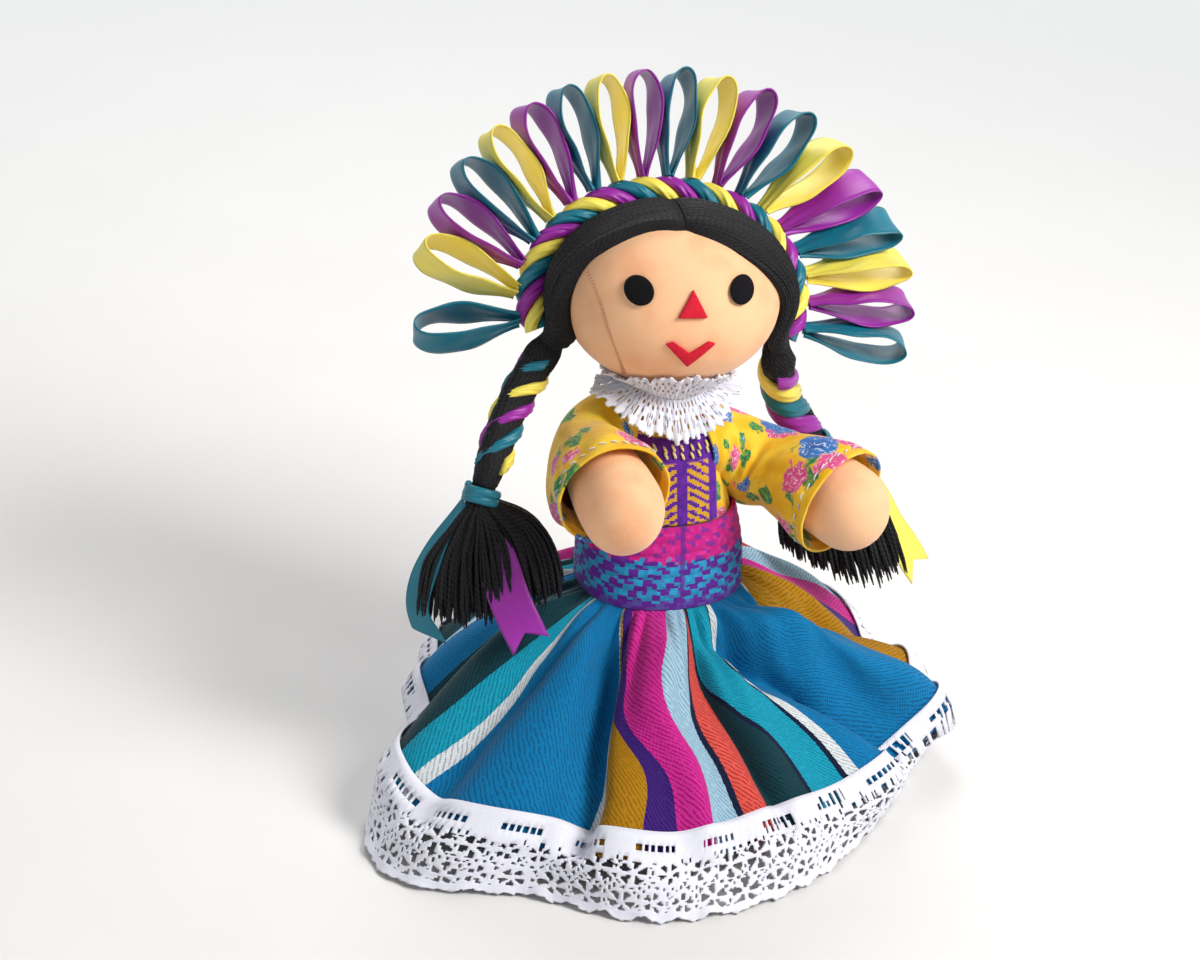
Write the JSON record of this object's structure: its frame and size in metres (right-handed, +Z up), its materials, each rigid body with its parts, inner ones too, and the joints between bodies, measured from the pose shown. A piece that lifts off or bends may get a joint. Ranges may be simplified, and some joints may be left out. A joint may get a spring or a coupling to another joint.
{
  "type": "rag doll",
  "caption": "Seated rag doll with yarn plaits, a crown of ribbon loops, a flowered blouse, a woven sash and a gathered striped skirt with a lace hem.",
  "frame": {"origin": "middle of the flat seat under the stuffed body, on the surface that the doll sits on", "axes": "+Z up, the doll faces -Y, +X towards the doll's left hand"},
  "size_m": [0.1602, 0.1457, 0.1631],
  "materials": {
    "flesh_cotton": "stuffed plain-weave cotton, fine even thread, matt",
    "black_yarn": "black yarn strands, soft sheen",
    "black_felt": "black felt, matt",
    "red_felt": "red felt, matt",
    "teal_ribbon": "teal satin ribbon",
    "yellow_ribbon": "yellow satin ribbon",
    "purple_ribbon": "purple satin ribbon",
    "flowered_cotton": "marigold cotton with printed flowers",
    "purple_weave": "purple woven band with small yellow figures",
    "belt_weave": "woven belt, magenta above, blue and purple zigzag below",
    "striped_weave": "striped hand-woven cotton, twill lines",
    "white_lace": "white cotton lace, open work"
  },
  "bodies": {
    "torso": {"torso": "flesh_cotton", "blouse_body": "flowered_cotton", "front_panel": "purple_weave", "waist_sash": "belt_weave", "collar_lace": "white_lace", "skirt": "striped_weave", "hem_lace": "white_lace"},
    "head": {"head": "flesh_cotton", "hair": "black_yarn", "eye_right": "black_felt", "eye_left": "black_felt", "nose": "red_felt", "mouth": "red_felt", "headband_ribbon_teal": "teal_ribbon", "headband_ribbon_yellow": "yellow_ribbon", "headband_ribbon_purple": "purple_ribbon", "ribbon_loop_01": "teal_ribbon", "ribbon_loop_02": "yellow_ribbon", "ribbon_loop_03": "purple_ribbon", "ribbon_loop_04": "teal_ribbon", "ribbon_loop_05": "yellow_ribbon", "ribbon_loop_06": "purple_ribbon", "ribbon_loop_07": "teal_ribbon", "ribbon_loop_08": "yellow_ribbon", "ribbon_loop_09": "purple_ribbon", "ribbon_loop_10": "teal_ribbon", "ribbon_loop_11": "yellow_ribbon", "ribbon_loop_12": "purple_ribbon", "ribbon_loop_13": "teal_ribbon", "ribbon_loop_14": "yellow_ribbon", "ribbon_loop_15": "purple_ribbon", "ribbon_loop_16": "teal_ribbon", "ribbon_loop_17": "yellow_ribbon", "ribbon_loop_18": "purple_ribbon", "ribbon_loop_19": "teal_ribbon"},
    "arm_right": {"arm_right": "flesh_cotton", "sleeve_right": "flowered_cotton"},
    "arm_left": {"arm_left": "flesh_cotton", "sleeve_left": "flowered_cotton"},
    "leg_right": {"leg_right": "flesh_cotton"},
    "leg_left": {"leg_left": "flesh_cotton"},
    "plait_right": {"plait_right": "black_yarn", "plait_ribbon_teal_right": "teal_ribbon", "plait_ribbon_yellow_right": "yellow_ribbon", "plait_ribbon_purple_right": "purple_ribbon", "tie_right": "teal_ribbon", "tassel_right": "black_yarn", "ribbon_tail_teal_right": "teal_ribbon", "ribbon_tail_purple_right": "purple_ribbon"},
    "plait_left": {"plait_left": "black_yarn", "plait_ribbon_teal_left": "teal_ribbon", "plait_ribbon_yellow_left": "yellow_ribbon", "plait_ribbon_purple_left": "purple_ribbon", "tie_left": "teal_ribbon", "tassel_left": "black_yarn", "ribbon_tail_teal_left": "teal_ribbon", "ribbon_tail_yellow_left": "yellow_ribbon"}
  },
  "joints": [
    {"name": "head_turn", "type": "hinge", "parent": "torso", "child": "head", "pos_m": [-0.0017, 0.0031, 0.0962], "axis": [0.035, 0.139, 0.9897], "range_deg": [-7, 12]},
    {"name": "shoulder_right", "type": "hinge", "parent": "torso", "child": "arm_right", "pos_m": [-0.02219, 0.00271, 0.084], "axis": [1, 0, 0], "range_deg": [-16, 35]},
    {"name": "shoulder_left", "type": "hinge", "parent": "torso", "child": "arm_left", "pos_m": [0.02051, 0.00258, 0.08], "axis": [1, 0, 0], "range_deg": [-20, 35]},
    {"name": "hip_right", "type": "hinge", "parent": "torso", "child": "leg_right", "pos_m": [-0.0095, -0.02174, 0.0069], "axis": [1, 0, 0], "range_deg": [0, 85]},
    {"name": "hip_left", "type": "hinge", "parent": "torso", "child": "leg_left", "pos_m": [0.0095, -0.02174, 0.0069], "axis": [1, 0, 0], "range_deg": [0, 85]},
    {"name": "plait_swing_right", "type": "hinge", "parent": "head", "child": "plait_right", "pos_m": [-0.03022, 0.01075, 0.10252], "axis": [0.7051, 0.7091, 0], "range_deg": [-6, 12]},
    {"name": "plait_swing_left", "type": "hinge", "parent": "head", "child": "plait_left", "pos_m": [0.02603, 0.00253, 0.09949], "axis": [0.893, 0.45, 0], "range_deg": [-2, 12]}
  ]
}
